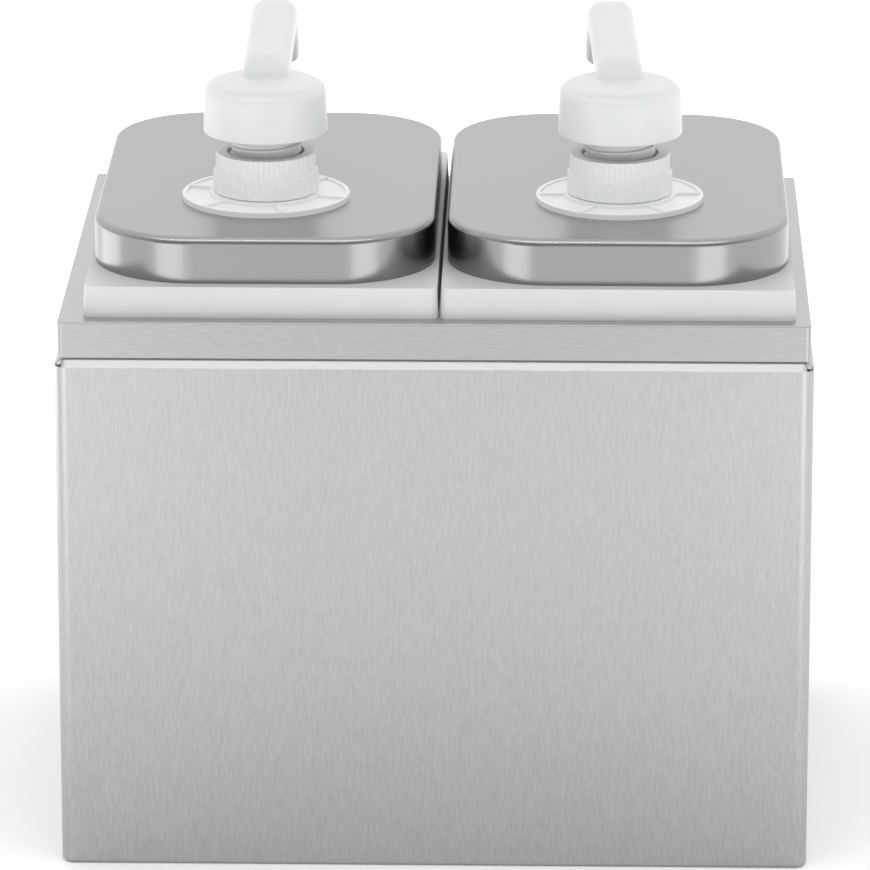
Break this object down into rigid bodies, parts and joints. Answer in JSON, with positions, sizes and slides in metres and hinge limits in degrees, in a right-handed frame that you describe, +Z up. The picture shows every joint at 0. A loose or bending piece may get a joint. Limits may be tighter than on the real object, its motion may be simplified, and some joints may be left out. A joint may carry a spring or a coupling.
{
  "type": "sauce dispenser",
  "caption": "Countertop sauce dispenser: a steel housing with lift-out tubs side by side, each under a drawn steel lid with a hand pump and a swivelling spout.",
  "frame": {"origin": "middle of the housing's underside", "axes": "+Z up, +X to the right seen from the front, +Y to the rear, where the spouts point"},
  "size_m": [0.2728, 0.2118, 0.291],
  "materials": {
    "body_steel": "fine vertical brushed grain",
    "frame_steel": "fine brushed grain along its length",
    "lid_steel": "satin brushed, deep drawn",
    "tub_plastic": "smooth moulded white",
    "pump_plastic": "smooth moulded white",
    "head_plastic": "satin moulded white",
    "natural_plastic": "translucent natural polythene",
    "seal_rubber": "soft pale silicone",
    "spring_steel": "drawn stainless wire",
    "ball_steel": "polished stainless"
  },
  "bodies": {
    "housing": {"housing_shell": "body_steel", "back_panel": "body_steel", "base_plate": "body_steel", "top_frame": "frame_steel"},
    "left_tub": {"left_container": "tub_plastic"},
    "left_lid_set": {"left_lid": "lid_steel", "left_pump_flange": "pump_plastic", "left_lid_gasket": "seal_rubber", "left_lid_nut": "pump_plastic"},
    "left_pump_core": {"left_cylinder": "natural_plastic", "left_lock_sleeve": "pump_plastic", "left_neck_gasket": "seal_rubber", "left_valve_cage": "natural_plastic", "left_dip_tube": "natural_plastic", "left_spring": "spring_steel"},
    "left_screw_collar": {"left_collar": "pump_plastic"},
    "left_plunger": {"left_stem": "pump_plastic", "left_piston": "natural_plastic"},
    "left_pump_head": {"left_head": "head_plastic"},
    "left_lower_ball": {"left_inlet_ball": "ball_steel"},
    "left_upper_ball": {"left_outlet_ball": "ball_steel"},
    "right_tub": {"right_container": "tub_plastic"},
    "right_lid_set": {"right_lid": "lid_steel", "right_pump_flange": "pump_plastic", "right_lid_gasket": "seal_rubber", "right_lid_nut": "pump_plastic"},
    "right_pump_core": {"right_cylinder": "natural_plastic", "right_lock_sleeve": "pump_plastic", "right_neck_gasket": "seal_rubber", "right_valve_cage": "natural_plastic", "right_dip_tube": "natural_plastic", "right_spring": "spring_steel"},
    "right_screw_collar": {"right_collar": "pump_plastic"},
    "right_plunger": {"right_stem": "pump_plastic", "right_piston": "natural_plastic"},
    "right_pump_head": {"right_head": "head_plastic"},
    "right_lower_ball": {"right_inlet_ball": "ball_steel"},
    "right_upper_ball": {"right_outlet_ball": "ball_steel"}
  },
  "joints": [
    {"name": "left_container_lift", "type": "slide", "parent": "housing", "child": "left_tub", "axis": [0, 0, 1], "range_m": [0, 0.2]},
    {"name": "left_lid_lift", "type": "slide", "parent": "left_tub", "child": "left_lid_set", "axis": [0, 0, 1], "range_m": [0, 0.2]},
    {"name": "left_pump_rise", "type": "slide", "parent": "left_lid_set", "child": "left_pump_core", "axis": [0, 0, 1], "range_m": [0, 0.01]},
    {"name": "left_collar_turn", "type": "hinge", "parent": "left_pump_core", "child": "left_screw_collar", "pos_m": [-0.0629, -0.035, 0.24], "axis": [0, 0, 1], "range_deg": [0, 900]},
    {"name": "left_press", "type": "slide", "parent": "left_pump_core", "child": "left_plunger", "axis": [0, 0, 1], "range_m": [-0.019, 0], "stiffness_N_per_m": 400, "springref_m": 0.015, "deforming": ["left_spring"]},
    {"name": "left_spout_swivel", "type": "hinge", "parent": "left_plunger", "child": "left_pump_head", "pos_m": [-0.0629, -0.035, 0.26], "axis": [0, 0, 1], "continuous": true},
    {"name": "left_inlet_ball_lift", "type": "slide", "parent": "left_pump_core", "child": "left_lower_ball", "axis": [0, 0, 1], "range_m": [0, 0.002]},
    {"name": "left_outlet_ball_lift", "type": "slide", "parent": "left_plunger", "child": "left_upper_ball", "axis": [0, 0, 1], "range_m": [0, 0.001]},
    {"name": "right_container_lift", "type": "slide", "parent": "housing", "child": "right_tub", "axis": [0, 0, 1], "range_m": [0, 0.2]},
    {"name": "right_lid_lift", "type": "slide", "parent": "right_tub", "child": "right_lid_set", "axis": [0, 0, 1], "range_m": [0, 0.2]},
    {"name": "right_pump_rise", "type": "slide", "parent": "right_lid_set", "child": "right_pump_core", "axis": [0, 0, 1], "range_m": [0, 0.01]},
    {"name": "right_collar_turn", "type": "hinge", "parent": "right_pump_core", "child": "right_screw_collar", "pos_m": [0.0665, -0.035, 0.24], "axis": [0, 0, 1], "range_deg": [0, 900]},
    {"name": "right_press", "type": "slide", "parent": "right_pump_core", "child": "right_plunger", "axis": [0, 0, 1], "range_m": [-0.019, 0], "stiffness_N_per_m": 400, "springref_m": 0.015, "deforming": ["right_spring"]},
    {"name": "right_spout_swivel", "type": "hinge", "parent": "right_plunger", "child": "right_pump_head", "pos_m": [0.0665, -0.035, 0.26], "axis": [0, 0, 1], "continuous": true},
    {"name": "right_inlet_ball_lift", "type": "slide", "parent": "right_pump_core", "child": "right_lower_ball", "axis": [0, 0, 1], "range_m": [0, 0.002]},
    {"name": "right_outlet_ball_lift", "type": "slide", "parent": "right_plunger", "child": "right_upper_ball", "axis": [0, 0, 1], "range_m": [0, 0.001]}
  ],
  "couplings": [
    {"joint": "left_collar_turn", "follows": "left_pump_rise", "rad_per_m": 1570.8},
    {"joint": "right_collar_turn", "follows": "right_pump_rise", "rad_per_m": 1570.8}
  ]
}
